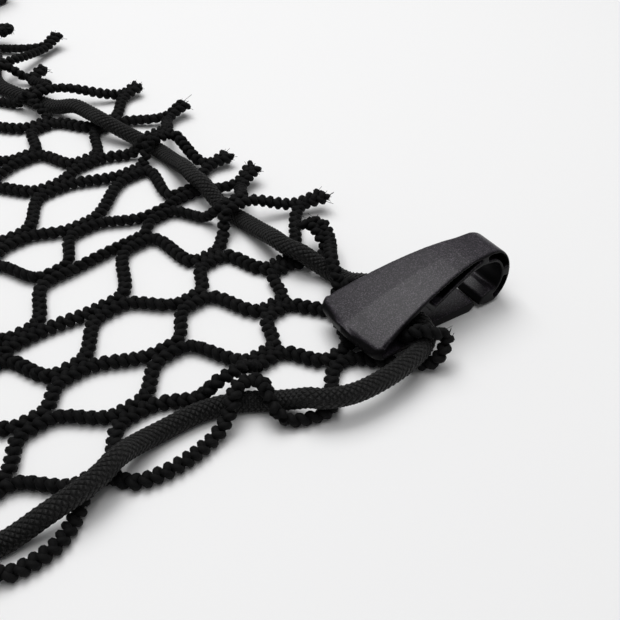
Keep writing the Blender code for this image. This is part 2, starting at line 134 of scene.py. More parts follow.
@dataclass
class WaleRoutes:
    """The routes of the net's wales, from the front tuft to the back tuft, in mm."""

    column: float = 15.4
    row: float = 21.8
    last_row: int = 7
    last_free_column: int = 8
    first_wale: int = -11
    last_wale: int = 10
    tie_spread: float = 1.6
    tie_length: float = 6.4
    wave: float = 1.3
    sideways_wave: Pair = (0.9, 1.7)
    lengthways_wave: Pair = (1.6, -0.8)
    on_floor: float = 2.2
    plump: float = 2.4
    over_cord: float = 8.8
    climb: float = 8.0
    over_columns: tuple[int, ...] = (5, 1, -3, -5)
    side_tie_heights: dict[int, float] = field(default_factory=lambda: {0: 8.2, 4: 8.2})

    def __post_init__(self) -> None:
        """Spreads the table of ties into a look-up by column and row."""
        self.shifts = {
            (tie_row.first_column + 2 * place, tie_row.row): shift
            for tie_row in TIE_ROWS
            for place, shift in enumerate(tie_row.shifts)
        }

    def tie_place(self, column: int, row: int) -> Pair:
        """Finds the middle of a tie in plan.

        Args:
            column: The tie's column, counted from the middle.
            row: The tie's row, counted from the middle.

        Returns:
            How far right and how far back the tie lies.
        """
        outward = math.copysign(1.0, row)
        right, back = column * self.column, row * self.row
        side = 1 if (column, abs(row)) in self.shifts else -1
        shift = self.shifts.get((side * column, abs(row)), (0.0, 0.0))
        right, back = right + side * shift[0], back + outward * shift[1]
        seen = (column, row) in self.shifts
        if seen or abs(column) > self.last_free_column or abs(row) >= self.last_row:
            return right, back
        right += self.wave * math.sin(self.sideways_wave[0] * column + self.sideways_wave[1] * row)
        back += self.wave * math.cos(self.lengthways_wave[0] * column + self.lengthways_wave[1] * row)
        return right, back

    def tie_height(self, column: int, row: int) -> float:
        """Gives the height of a tie's middle: over the cord, or on the floor.

        Args:
            column: The tie's column, counted from the middle.
            row: The tie's row, counted from the middle.

        Returns:
            The height in mm.
        """
        if abs(row) == self.last_row and column in self.over_columns:
            return self.over_cord
        if abs(column) == self.last_wale:
            return self.side_tie_heights.get(abs(row), self.on_floor)
        return self.on_floor

    def tie_points(self, wale: int, row: int) -> list[Vector]:
        """Gives the two points, front one first, that a wale runs through in its tie in a row.

        Args:
            wale: The wale's number.
            row: The tie's row, counted from the middle.

        Returns:
            The two points.
        """
        column = wale if (wale + row) % 2 == 0 else wale + 1
        right, back = self.tie_place(column, row)
        right += self.tie_spread if wale == column else -self.tie_spread
        height, half = self.tie_height(column, row), self.tie_length / 2
        return [Vector((right, back - half, height)), Vector((right, back + half, height))]

    def tuft_points(self, wale: int, row: int) -> list[Vector]:
        """Gives the root and the tip of a wale's cut end past its last tie.

        Args:
            wale: The wale's number.
            row: The tie's row, counted from the middle.

        Returns:
            The root and the tip.
        """
        column = wale if (wale + row) % 2 == 0 else wale + 1
        side = 1 if wale == column else -1
        tip = TUFT_TIPS.get(column) or TUFT_TIPS[abs(column)]
        lean = tip[0] if column in TUFT_TIPS else -tip[0]
        right, back = self.tie_place(column, row)
        outward = math.copysign(1.0, row)
        spread = side * self.tie_spread
        root = Vector((right + spread, back - outward * self.tie_length / 2, (self.on_floor + tip[2]) / 2))
        return [root, Vector((right + lean + spread, back + outward * tip[1], tip[2]))]

    def with_climbs(self, points: Sequence[Vector]) -> list[Vector]:
        """Adds a point on the floor beside each stretch that lies over the cord.

        Args:
            points: The wale's points, from front to back.

        Returns:
            The same points and the new ones.
        """
        path = [points[0]]
        for start, end in zip(points, points[1:]):
            run = (end - start).to_2d().length
            low, high = sorted((start, end), key=lambda point: point.z)
            if high.z - low.z > self.climb / 2 and run > 2 * self.climb:
                path.append(high.lerp(low, self.climb / run))
                path[-1].z = low.z
            path.append(end)
        return path

    def route(self, wale: int) -> list[Vector]:
        """Gives the points that one wale runs through.

        Args:
            wale: The wale's number.

        Returns:
            The points, from front to back.
        """
        if -1 - wale in CORNER_RUNS:
            return [Vector((-x, y, z)) for x, y, z in self.route(-1 - wale)]
        if wale not in CORNER_RUNS:
            rows = range(-self.last_row, self.last_row + 1)
            ties = [point for row in rows for point in self.tie_points(wale, row)]
            front = self.tuft_points(wale, -self.last_row - 1)
            return front[::-1] + self.with_climbs(ties) + self.tuft_points(wale, self.last_row + 1)
        last, run = CORNER_RUNS[wale]
        ties = [point for row in range(-last, last + 1) for point in self.tie_points(wale, row)]
        points = [Vector(point) for point in run]
        return [Vector((x, -y, z)) for x, y, z in points[::-1]] + self.with_climbs(ties) + points

    def bent(self, wale: int, step: float = 0.8) -> list[Vector]:
        """Bends a wale's route into a smooth line that leaves each tie straight along it.

        Args:
            wale: The wale's number.
            step: The distance between the points of the line.

        Returns:
            The points of the line.
        """
        route = self.route(wale)
        ways = []
        for place, point in enumerate(route):
            before, after = route[max(place - 1, 0)], route[min(place + 1, len(route) - 1)]
            in_tie = [p for p in (before, after) if abs(p.x - point.x) < 1e-6 and abs(p.z - point.z) < 1e-6]
            ways.append(Vector((0.0, 1.0, 0.0)) if in_tie else (after - before).normalized())
        line = []
        for place, (start, end) in enumerate(zip(route, route[1:])):
            reach = (end - start).length
            out, back = ways[place] * reach, ways[place + 1] * reach
            count = max(2, round(reach / step))
            line += [hermite(start, out, end, back, part / count) for part in range(count)]
        line.append(route[-1])
        for point in line:
            point.z = max(point.z, self.plump)
        return line


def hermite(start: Vector, out: Vector, end: Vector, back: Vector, share: float) -> Vector:
    """Gives a point on the cubic from start to end with those two end slopes.

    Args:
        start: The first point.
        out: The slope there.
        end: The last point.
        back: The slope there.
        share: How far along the cubic the point is, from 0 to 1.

    Returns:
        The point.
    """
    square, cube = share**2, share**3
    return (
        start * (2 * cube - 3 * square + 1)
        + out * (cube - 2 * square + share)
        + end * (3 * square - 2 * cube)
        + back * (cube - square)
    )


def cord_line(step: float = 2.0) -> list[Vector]:
    """Gives points a step apart on the border cord's closed centreline.

    Args:
        step: The distance between the points, in mm.

    Returns:
        The points, once round the ring.
    """
    corner = [Vector(point) for point in CORD_CORNER]
    left = [Vector((-x, y, z)) for x, y, z in corner[::-1]]
    half = left + [Vector(point) for point in CORD_BACK] + corner
    route = half + [Vector((x, -y, z)) for x, y, z in half[::-1]]
    line = []
    for place, start in enumerate(route):
        before = route[place - 1]
        end, after = (route[(place + ahead) % len(route)] for ahead in (1, 2))
        count = max(1, round((end - start).length / step))
        out, back = (end - before) / 2, (after - start) / 2
        line += [hermite(start, out, end, back, part / count) for part in range(count)]
    return line


# --------------- node trees


class NodeMaker:
    """Adds nodes to one tree and joins their sockets."""

    def __init__(self, tree: bpy.types.NodeTree) -> None:
        """Keeps the tree that the nodes go into."""
        self.tree = tree

    def add(self, kind: str, values: dict[Any, Any] | None = None, **settings: Any) -> Node:
        """Adds a node.

        Args:
            kind: The node's type name.
            values: Sockets by name or number, each with a value or the socket that feeds it.
            **settings: The node's own properties.

        Returns:
            The new node.
        """
        node = self.tree.nodes.new(kind)
        for name, value in settings.items():
            setattr(node, name, value)
        self.feed(node, values or {})
        return node

    def feed(self, node: Node, values: dict[Any, Any]) -> None:
        """Gives a node's inputs their values, or joins them to the sockets that feed them.

        Args:
            node: The node.
            values: Its inputs by name or number, each with a value or a socket.
        """
        for key, value in values.items():
            if isinstance(value, NodeSocket):
                self.tree.links.new(value, node.inputs[key])
            else:
                node.inputs[key].default_value = value

    def chain(
        self, geometry: NodeSocket, kind: str, values: dict[str, Any] | None = None, **settings: Any
    ) -> NodeSocket:
        """Adds a Geometry node that takes in some geometry, and gives what it makes of it."""
        return self.add("GeometryNode" + kind, {0: geometry, **(values or {})}, **settings).outputs[0]

    def field(self, kind: str, output: str | int = 0) -> NodeSocket:
        """Adds a Geometry node that takes in nothing, and gives one of its outputs."""
        return self.add("GeometryNode" + kind).outputs[output]

    def bump(self, strength: float, depth: float, height: NodeSocket) -> NodeSocket:
        """Adds a Bump node, with its depth in mm, and gives the normal."""
        values = {"Strength": strength, "Distance": depth * MM, "Height": height}
        return self.add("ShaderNodeBump", values).outputs[0]

    def math(self, operation: str, *values: Any, clamp: bool = False) -> NodeSocket:
        """Adds a Math node and gives its result."""
        node = self.add("ShaderNodeMath", dict(enumerate(values)), operation=operation, use_clamp=clamp)
        return node.outputs[0]

    plus = partialmethod(math, "ADD")
    minus = partialmethod(math, "SUBTRACT")
    times = partialmethod(math, "MULTIPLY")
    over = partialmethod(math, "DIVIDE")

    def vector(self, operation: str, values: dict[Any, Any]) -> NodeSocket:
        """Adds a Vector Math node and gives its result."""
        return self.add("ShaderNodeVectorMath", values, operation=operation).outputs[0]

    def parts(self, vector: NodeSocket) -> Any:
        """Splits a vector and gives the sockets of its three parts."""
        return self.add("ShaderNodeSeparateXYZ", {0: vector}).outputs

    def noise(
        self, place: NodeSocket, scale: Any, detail: float, roughness: float = 0.5, seed: Any = None
    ) -> NodeSocket:
        """Adds a noise texture, with a seed where one is given, and gives its value.

        Args:
            place: Where the noise is read.
            scale: How fine it is.
            detail: Its layers of detail.
            roughness: How strong the fine layers are.
            seed: The seed, or nothing for plain noise.

        Returns:
            The socket with the value, from 0 to 1.
        """
        values = {"Vector": place, "Scale": scale, "Detail": detail, "Roughness": roughness}
        if seed is None:
            return self.add("ShaderNodeTexNoise", values).outputs[0]
        return self.add("ShaderNodeTexNoise", {**values, "W": seed}, noise_dimensions="4D").outputs[0]

    def ripple(self, value: Any) -> NodeSocket:
        """Gives a row of even humps, one to every whole number."""
        return self.math("ABSOLUTE", self.math("SINE", self.times(value, math.pi)))

    def mix(self, factor: Any, first: Any, second: Any) -> NodeSocket:
        """Mixes two colours and gives the result."""
        return self.add("ShaderNodeMix", {0: factor, 6: first, 7: second}, data_type="RGBA").outputs[2]


def new_group(
    name: str, kind: str, takes: Sequence[tuple[str, str, Any]], gives: Sequence[tuple[str, str]]
) -> tuple[NodeMaker, Any, Node]:
    """Starts a node group with named sockets.

    Args:
        name: The group's name.
        kind: The tree's type name.
        takes: The name, type and value of each input.
        gives: The name and type of each output.

    Returns:
        The tree's maker, the sockets of what the group is given, and its output node.
    """
    tree = bpy.data.node_groups.new(name, kind)
    for label, socket, value in takes:
        made = tree.interface.new_socket(label, in_out="INPUT", socket_type=socket)
        if value is not None:
            made.default_value = value
    for label, socket in gives:
        tree.interface.new_socket(label, in_out="OUTPUT", socket_type=socket)
    maker = NodeMaker(tree)
    return maker, maker.add("NodeGroupInput").outputs, maker.add("NodeGroupOutput")


LENGTHS = ("radius", "step", "beside", "coil_width", "coil_height", "stitch", "cell", "braid_height")


@dataclass(frozen=True)
class YarnSizes:
    """What one use of the yarn tree is given, in mm where it is a length."""

    radius: float = 1.0
    step: float = 0.8
    sides: int = 6
    plump: float = 0.0
    beside: float = 0.0
    coil_width: float = 0.0
    coil_height: float = 0.0
    hand: float = 1.0
    stitch: float = 3.0
    phase: float = 0.0
    turn: float = 0.0
    turn_scale: float = 25.0
    seed: float = 0.0
    carriers: float = 0.0
    cell: float = 1.0
    braid_height: float = 0.0

    def inputs(self) -> dict[str, float]:
        """Gives the sizes by the names of the tree's inputs, with the lengths in metres.

        Returns:
            Each input's name and value.
        """
        return {
            name.replace("_", " ").title(): value * MM if name in LENGTHS else value
            for name, value in vars(self).items()
        }


class YarnTree:
    """The Geometry Nodes tree that turns a line into one yarn, straight or coiled beside the line."""

    UNEVEN_SCALE = 90.0
    UNEVEN_ANGLE = 4.0
    LUMP_SCALE = 260.0

    def __init__(self) -> None:
        """Builds the tree once, for the yarns, the cord and the loose fibres."""
        kinds = {int: "NodeSocketInt", float: "NodeSocketFloat"}
        sizes = ((name, kinds[type(value)], value) for name, value in YarnSizes().inputs().items())
        self.maker, self.given, result = new_group(
            "yarn_along_line",
            "GeometryNodeTree",
            (("Line", "NodeSocketGeometry", None), *sizes, ("Material", "NodeSocketMaterial", None)),
            (("Yarn", "NodeSocketGeometry"),),
        )
        maker, given, self.tree = self.maker, self.given, self.maker.tree
        line = maker.chain(given["Line"], "ResampleCurve", {"Length": given["Step"]}, mode="LENGTH")
        level = maker.chain(line, "SetCurveNormal", mode="Z_UP")
        along = maker.field("SplineParameter", "Length")
        kept = self._keep(level, {"Angle": self._angle(along), "Along": along})
        moved = maker.chain(kept[0], "SetPosition", {"Offset": self._coil(kept["Angle"])})
        thick = maker.chain(moved, "SetCurveRadius", {"Radius": self._swell(kept["Angle"])})
        circle = {"Resolution": given["Sides"], "Radius": given["Radius"]}
        ring = maker.add("GeometryNodeCurvePrimitiveCircle", circle, mode="RADIUS").outputs["Curve"]
        profile = self._keep(ring, {"Around": maker.field("SplineParameter", "Factor")})
        swept = maker.chain(thick, "CurveToMesh", {"Profile Curve": profile[0], "Fill Caps": True})
        around = self._unseamed(profile["Around"])
        place = maker.add("ShaderNodeCombineXYZ", {0: around, 1: maker.over(kept["Along"], MM)})
        braided = self._braid(profile["Around"], kept["Along"], swept)
        value = {"Name": "UVMap", "Value": place.outputs[0]}
        stored = maker.chain(braided, "StoreNamedAttribute", value, data_type="FLOAT2", domain="CORNER")
        real = maker.chain(maker.chain(stored, "SetShadeSmooth"), "RealizeInstances")
        dressed = maker.chain(real, "SetMaterial", {"Material": given["Material"]})
        maker.feed(result, {"Yarn": dressed})

    def _keep(self, curve: NodeSocket, values: dict[str, NodeSocket]) -> Any:
        """Keeps values on a curve's points, and gives the sockets of the curve and of each value.

        Args:
            curve: The curve.
            values: The values by name.

        Returns:
            The sockets.
        """
        node = self.maker.add("GeometryNodeCaptureAttribute", {"Geometry": curve}, domain="POINT")
        for label in values:
            node.capture_items.new("FLOAT", label)
        self.maker.feed(node, values)
        return node.outputs

    def _drift(self, scale: Any, detail: float) -> NodeSocket:
        """Gives slow noise round nought at a point's place."""
        place = self.maker.field("InputPosition")
        return self.maker.minus(self.maker.noise(place, scale, detail, seed=self.given["Seed"]), 0.5)

    def _angle(self, along: NodeSocket) -> NodeSocket:
        """Gives a point's angle in the coil: one turn to a stitch, with the stitches a little uneven.

        Args:
            along: How far along the line the point is.

        Returns:
            The socket with the angle.
        """
        maker = self.maker
        uneven = maker.times(self._drift(self.UNEVEN_SCALE, 1.0), self.UNEVEN_ANGLE)
        turns = maker.plus(maker.over(along, self.given["Stitch"]), self.given["Phase"])
        return maker.plus(maker.times(turns, math.tau), uneven)

    def _coil(self, theta: NodeSocket) -> NodeSocket:
        """Gives a point's offset from the line: a leg that coils round an axis beside the line.

        Args:
            theta: The point's angle in the coil.

        Returns:
            The socket with the offset.
        """
        maker, given = self.maker, self.given
        normal = maker.field("InputNormal")
        upward = maker.vector("CROSS_PRODUCT", {0: maker.field("InputTangent"), 1: normal})
        angle = maker.times(self._drift(given["Turn Scale"], 0.0), given["Turn"])
        wide = maker.times(maker.math("COSINE", theta), given["Coil Width"])
        side = maker.times(maker.plus(wide, given["Beside"]), given["Hand"])
        rise = maker.times(maker.math("SINE", theta), given["Coil Height"])
        cosine, sine = maker.math("COSINE", angle), maker.math("SINE", angle)
        across = maker.minus(maker.times(side, cosine), maker.times(rise, sine))
        up = maker.plus(maker.times(side, sine), maker.times(rise, cosine))
        ways = ((normal, across), (upward, up))
        offsets = [maker.vector("SCALE", {0: way, "Scale": by}) for way, by in ways]
        return maker.vector("ADD", dict(enumerate(offsets)))

    def _swell(self, theta: NodeSocket) -> NodeSocket:
        """Gives the yarn's thickness: plump at the outer side of each stitch, with a little noise.

        Args:
            theta: The point's angle in the coil.

        Returns:
            The socket with the thickness, near 1.
        """
        maker, plump = self.maker, self.given["Plump"]
        outer = maker.times(maker.math("COSINE", theta), plump)
        return maker.plus(1.0, maker.plus(outer, maker.times(self._drift(self.LUMP_SCALE, 1.0), plump)))

    def _braid(self, around: NodeSocket, along: NodeSocket, swept: NodeSocket) -> NodeSocket:
        """Raises a cell wherever two carriers cross, and leaves the gaps between the cells low.

        Args:
            around: The share round the cord.
            along: How far along the cord.
            swept: The smooth cord.

        Returns:
            The braided cord.
        """
        maker, given = self.maker, self.given
        turns, rows = maker.times(around, given["Carriers"]), maker.over(along, given["Cell"])
        cells = maker.times(maker.ripple(maker.plus(turns, rows)), maker.ripple(maker.minus(turns, rows)))
        height = maker.times(maker.minus(cells, 0.5), given["Braid Height"])
        offset = maker.vector("SCALE", {0: maker.field("InputNormal"), "Scale": height})
        return maker.chain(swept, "SetPosition", {"Offset": offset})

    def _unseamed(self, around: NodeSocket) -> NodeSocket:
        """Gives the share round the yarn, with the last face running up to one and not back to nought.

        Args:
            around: The share as the ring gives it.

        Returns:
            The share without the seam.
        """
        mean = self.maker.add("GeometryNodeFieldOnDomain", {0: around}, data_type="FLOAT", domain="FACE")
        short = self.maker.math("LESS_THAN", around, self.maker.minus(mean.outputs[0], 0.25))
        return self.maker.plus(around, short)


def sweep(
    name: str, lines: Iterable[Sequence[Vector]], sizes: YarnSizes, tree: YarnTree,
    material: Material, closed: bool = False,
) -> Object:
    """Runs the yarn tree along some lines and keeps the result as a plain mesh.

    Args:
        name: The piece's name.
        lines: The lines, each a list of points in mm.
        sizes: The yarn's sizes.
        tree: The yarn tree.
        material: The yarn's finish.
        closed: Whether each line is a ring.

    Returns:
        The finished object, with its place in its mesh.
    """
    curve = bpy.data.curves.new(name + "_line", "CURVE")
    curve.dimensions = "3D"
    for line in lines:
        spline = curve.splines.new("POLY")
        spline.points.add(len(line) - 1)
        for spline_point, point in zip(spline.points, line):
            spline_point.co = (*(point * MM), 1.0)
        spline.use_cyclic_u = closed
    source = new_object(name + "_line", curve)
    modifier = source.modifiers.new("yarn", "NODES")
    modifier.node_group = tree.tree
    values = {**sizes.inputs(), "Material": material}
    for item in tree.tree.interface.items_tree:
        if item.in_out == "INPUT" and item.name in values:
            modifier[item.identifier] = values[item.name]
    return plain_mesh(source, name, material)


def new_object(name: str, data: Any) -> Object:
    """Makes an object at the origin and puts it in the scene.

    Args:
        name: The object's name.
        data: Its mesh, curve, light or camera.

    Returns:
        The object.
    """
    made = bpy.data.objects.new(name, data)
    bpy.context.scene.collection.objects.link(made)
    return made


def plain_mesh(source: Object, name: str, material: Material | None = None) -> Object:
    """Keeps what an object's modifiers make as a plain mesh of its own, and removes the object.

    Args:
        source: The object to keep.
        name: The new object's name.
        material: The finish that the mesh has to have, if any.

    Returns:
        The new object.
    """
    bpy.context.view_layer.update()
    graph = bpy.context.evaluated_depsgraph_get()
    mesh = bpy.data.meshes.new_from_object(source.evaluated_get(graph), depsgraph=graph)
    mesh.name = name
    mesh.transform(source.matrix_world)
    if material and material.name not in [kept.name for kept in mesh.materials if kept]:
        mesh.materials.clear()
        mesh.materials.append(material)
    bpy.data.objects.remove(source, do_unlink=True)
    return new_object(name, mesh)


# --------------- finishes


class FibreGroup:
    """The shader group for fine fibres on yarn and braid: a colour that changes and a height."""

    NUMBERS = {
        "Around": 0.0, "Along": 0.0, "Plies": 8.0, "Lay": 1.2, "Ply Height": 0.35, "Fuzz Scale": 2600.0,
        "Wear Scale": 140.0, "Wear From": 0.42, "Wear Edge": 1.6,
    }

    def __init__(self) -> None:
        """Builds the group once."""
        maker, given, result = new_group(
            "fine_fibres",
            "ShaderNodeTree",
            (
                *((label, "NodeSocketFloat", value) for label, value in self.NUMBERS.items()),
                ("Colour", "NodeSocketColor", (0.02, 0.02, 0.02, 1.0)),
                ("Worn Colour", "NodeSocketColor", (0.06, 0.06, 0.06, 1.0)),
            ),
            (("Colour", "NodeSocketColor"), ("Height", "NodeSocketFloat")),
        )
        self.tree = maker.tree
        place = maker.add("ShaderNodeTexCoord").outputs["Object"]
        turns = maker.plus(
            maker.times(given["Around"], given["Plies"]), maker.times(given["Along"], given["Lay"])
        )
        ply = maker.times(maker.math("SINE", maker.times(turns, math.tau)), given["Ply Height"])
        height = maker.plus(ply, maker.noise(place, given["Fuzz Scale"], 3.0, 0.6))
        broad = maker.minus(maker.noise(place, given["Wear Scale"], 2.0), given["Wear From"])
        worn = maker.times(broad, given["Wear Edge"], clamp=True)
        light = maker.times(worn, maker.plus(0.5, maker.times(height, 0.5)), clamp=True)
        colour = maker.mix(light, given["Colour"], given["Worn Colour"])
        maker.feed(result, {"Colour": colour, "Height": height})

    def place(self, maker: NodeMaker, finish: KnitFinish | BraidFinish, uv: Any) -> Any:
        """Places the group in a material, with a finish's own values.

        Args:
            maker: The material's maker.
            finish: The finish that gives the colours and the lay of the plies.
            uv: The parts of the yarn's UV map.

        Returns:
            The sockets of the group's colour and height.
        """
        values = {
            "Around": uv[0], "Along": uv[1], "Plies": finish.plies, "Lay": finish.lay,
            "Colour": (*finish.colour, 1.0), "Worn Colour": (*finish.worn, 1.0),
        }
        return maker.add("ShaderNodeGroup", values, node_tree=self.tree).outputs


def new_material(name: str) -> tuple[Material, NodeMaker, Node]:
    """Starts a material with an empty tree and a Principled shader.

    Args:
        name: The material's name.

    Returns:
        The material, its tree's maker and its shader.
    """
    material = bpy.data.materials.new(name)
    material.use_nodes = True
    material.node_tree.nodes.clear()
    maker = NodeMaker(material.node_tree)
    shader = maker.add("ShaderNodeBsdfPrincipled")
    maker.add("ShaderNodeOutputMaterial", {"Surface": shader.outputs[0]})
    return material, maker, shader


def uv_parts(maker: NodeMaker) -> Any:
    """Gives the sockets of the two parts of a piece's own UV map."""
    return maker.parts(maker.add("ShaderNodeUVMap", uv_map="UVMap").outputs[0])


@dataclass(frozen=True)
class KnitFinish:
    """Matt black covered elastic, knitted."""

    colour: Colour = (0.0027, 0.0027, 0.0029)
    worn: Colour = (0.0105, 0.0102, 0.0102)
    plies: float = 5.0
    lay: float = 0.9
    roughness: float = 0.74
    sheen: float = 0.03
    sheen_tint: Colour = (0.5, 0.5, 0.52)
    specular: float = 0.1
    relief: float = 0.25
    relief_depth: float = 0.12

    def make(self, fibres: FibreGroup) -> Material:
        """Builds the material on the yarn's own UV map.

        Args:
            fibres: The group for fine fibres.

        Returns:
            The material.
        """
        material, maker, shader = new_material("knitted_yarn")
        fuzz = fibres.place(maker, self, uv_parts(maker))
        maker.feed(shader, {
            "Base Color": fuzz["Colour"],
            "Normal": maker.bump(self.relief, self.relief_depth, fuzz["Height"]),
            "Roughness": self.roughness, "Sheen Weight": self.sheen, "Sheen Tint": (*self.sheen_tint, 1.0),
            "Specular IOR Level": self.specular,
        })
        return material


@dataclass(frozen=True)
class BraidFinish:
    """Black braid: yarns of two directions that pass over and under each other in small cells, with painted
    shade in the low gaps between the cells.
    """

    colour: Colour = (0.0058, 0.0058, 0.0059)
    worn: Colour = (0.034, 0.033, 0.0318)
    # The gap colour is painted shade: near black where the cells sink low between the crossings.
    gap_colour: Colour = (0.0009, 0.0009, 0.0009)
    gap_height: float = 0.55
    gap_edge: float = 3.0
    plies: float = 48.0
    lay: float = 0.6
    long_power: float = 0.55
    short_power: float = 0.9
    fuzz: float = 0.12
    roughness: float = 0.6
    sheen: float = 0.05
    specular: float = 0.2
    relief: float = 1.0
    relief_depth: float = 0.6

    def make(self, fibres: FibreGroup) -> Material:
        """Builds the material on the cord's own UV map, with painted shade in the low gaps between the
        cells.

        Args:
            fibres: The group for fine fibres.

        Returns:
            The material.
        """
        material, maker, shader = new_material("braided_cord")
        uv = uv_parts(maker)
        turns, rows = maker.times(uv[0], float(BorderCord.carriers)), maker.over(uv[1], BorderCord.cell)
        height = self._floats(maker, maker.plus(turns, rows), maker.minus(turns, rows))
        fuzz = fibres.place(maker, self, uv)
        # Painted shade: the base colour turns to the dark gap colour where the cell height falls below
        # gap_height.
        unshaded_share = maker.times(maker.minus(height, self.gap_height), self.gap_edge, clamp=True)
        relief = maker.plus(height, maker.times(fuzz["Height"], self.fuzz))
        maker.feed(shader, {
            "Base Color": maker.mix(unshaded_share, (*self.gap_colour, 1.0), fuzz["Colour"]),
            "Normal": maker.bump(self.relief, self.relief_depth, relief),
            "Roughness": self.roughness, "Sheen Weight": self.sheen, "Specular IOR Level": self.specular,
        })
        return material

    def _floats(self, maker: NodeMaker, first: NodeSocket, second: NodeSocket) -> NodeSocket:
        """Gives the height of the yarn on top, from the places across the two yarn directions.

        Args:
            maker: The material's maker.
            first: The place across the first direction.
            second: The place across the second.

        Returns:
            The socket with the height, from 0 to 1.
        """
        rows = maker.plus(maker.math("FLOOR", first), maker.math("FLOOR", second))
        other = maker.math("FLOORED_MODULO", rows, 2.0)
        waves = [maker.ripple(first), maker.ripple(second)]
        powers = (self.long_power, self.short_power)
        over, under = (
            maker.times(*(maker.math("POWER", wave, power) for wave, power in zip(pair, powers)))
            for pair in (waves, waves[::-1])
        )
        return maker.plus(over, maker.times(other, maker.minus(under, over)))


@dataclass(frozen=True)
class PlasticFinish:
    """Charcoal moulded plastic with a fine grain, bright flecks that are painted glints, and painted shade
    on upright faces and in the moulded recesses.
    """

    colour: Colour = (0.0088, 0.0074, 0.0105)
    # The fleck colour is painted glints: bright spots in the base colour in place of sparkle from the light.
    fleck: Colour = (0.1, 0.086, 0.105)
    worn: Colour = (0.024, 0.022, 0.026)
    # The side colour is painted shade: darker for faces that stand upright, which the overhead light leaves
    # in shade.
    side: Colour = (0.0042, 0.0040, 0.0046)
    # The colour of the moulded recesses is painted shade, near black.
    recess: Colour = (0.0006, 0.0006, 0.0006)
    fleck_power: float = 5.0
    worn_share: float = 0.2
    flat_from: float = 0.55
    flat_edge: float = 4.0
    roughness: float = 0.42
    rough_spread: float = 0.25
    side_specular: float = 0.1
    flat_specular: float = 0.17
    grain: float = 0.35
    grain_depth: float = 0.05
    grain_scale: float = 3200.0
    worn_scale: float = 60.0
    fleck_scale: float = 4200.0

    def make(self) -> Material:
        """Builds the material on Object coordinates and on the hook's map of its recesses. The flecks are
        painted glints; upright faces and the recesses get painted shade.

        Returns:
            The material.
        """
        material, maker, shader = new_material("hook_plastic")
        place = maker.add("ShaderNodeTexCoord").outputs["Object"]
        fine = maker.noise(place, self.grain_scale, 2.0, 0.7)
        coarse = maker.noise(place, self.worn_scale, 3.0)
        # Painted glints: bright flecks from the Voronoi cells are mixed into the base colour.
        cells = maker.add("ShaderNodeTexVoronoi", {"Vector": place, "Scale": self.fleck_scale})
        grey = maker.add("ShaderNodeSeparateColor", {0: cells.outputs["Color"]}).outputs[0]
        bright = maker.math("POWER", grey, self.fleck_power)
        with_painted_glints = maker.mix(bright, (*self.colour, 1.0), (*self.fleck, 1.0))
        worn = maker.mix(maker.times(coarse, self.worn_share), with_painted_glints, (*self.worn, 1.0))
        # Painted shade: upright faces get the darker side colour and less specular, while flat tops keep the
        # full colour.
        upright = maker.parts(maker.add("ShaderNodeNewGeometry").outputs["Normal"])[2]
        upper = maker.times(maker.minus(upright, self.flat_from), self.flat_edge, clamp=True)
        # Painted shade: the second part of the UV map marks the moulded recesses, which get the near-black
        # colour and no specular.
        inside = uv_parts(maker)[1]
        shaded_colour = maker.mix(inside, maker.mix(upper, (*self.side, 1.0), worn), (*self.recess, 1.0))
        shine = maker.plus(self.side_specular, maker.times(upper, self.flat_specular))
        maker.feed(shader, {
            "Base Color": shaded_colour, "Normal": maker.bump(self.grain, self.grain_depth, fine),
            "Roughness": maker.plus(self.roughness, maker.times(maker.minus(fine, 0.5), self.rough_spread)),
            "Specular IOR Level": maker.times(shine, maker.minus(1.0, inside)),
        })
        return material


# --------------- the net and its cord


def dress(piece: Object, node: str) -> None:
    """Hangs a finished piece on the part's body in place of a node, and hides the node.

    Args:
        piece: The piece, with its place in its mesh.
        node: The node's name.
    """
    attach(piece, ROOT)
    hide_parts(node)
    LOG.info("%s: %d faces", piece.name, len(piece.data.polygons))


class Leg(Enum):
    """The two legs of every stitch, by the side of the wale that each lies on."""

    LEFT = 1.0
    RIGHT = -1.0


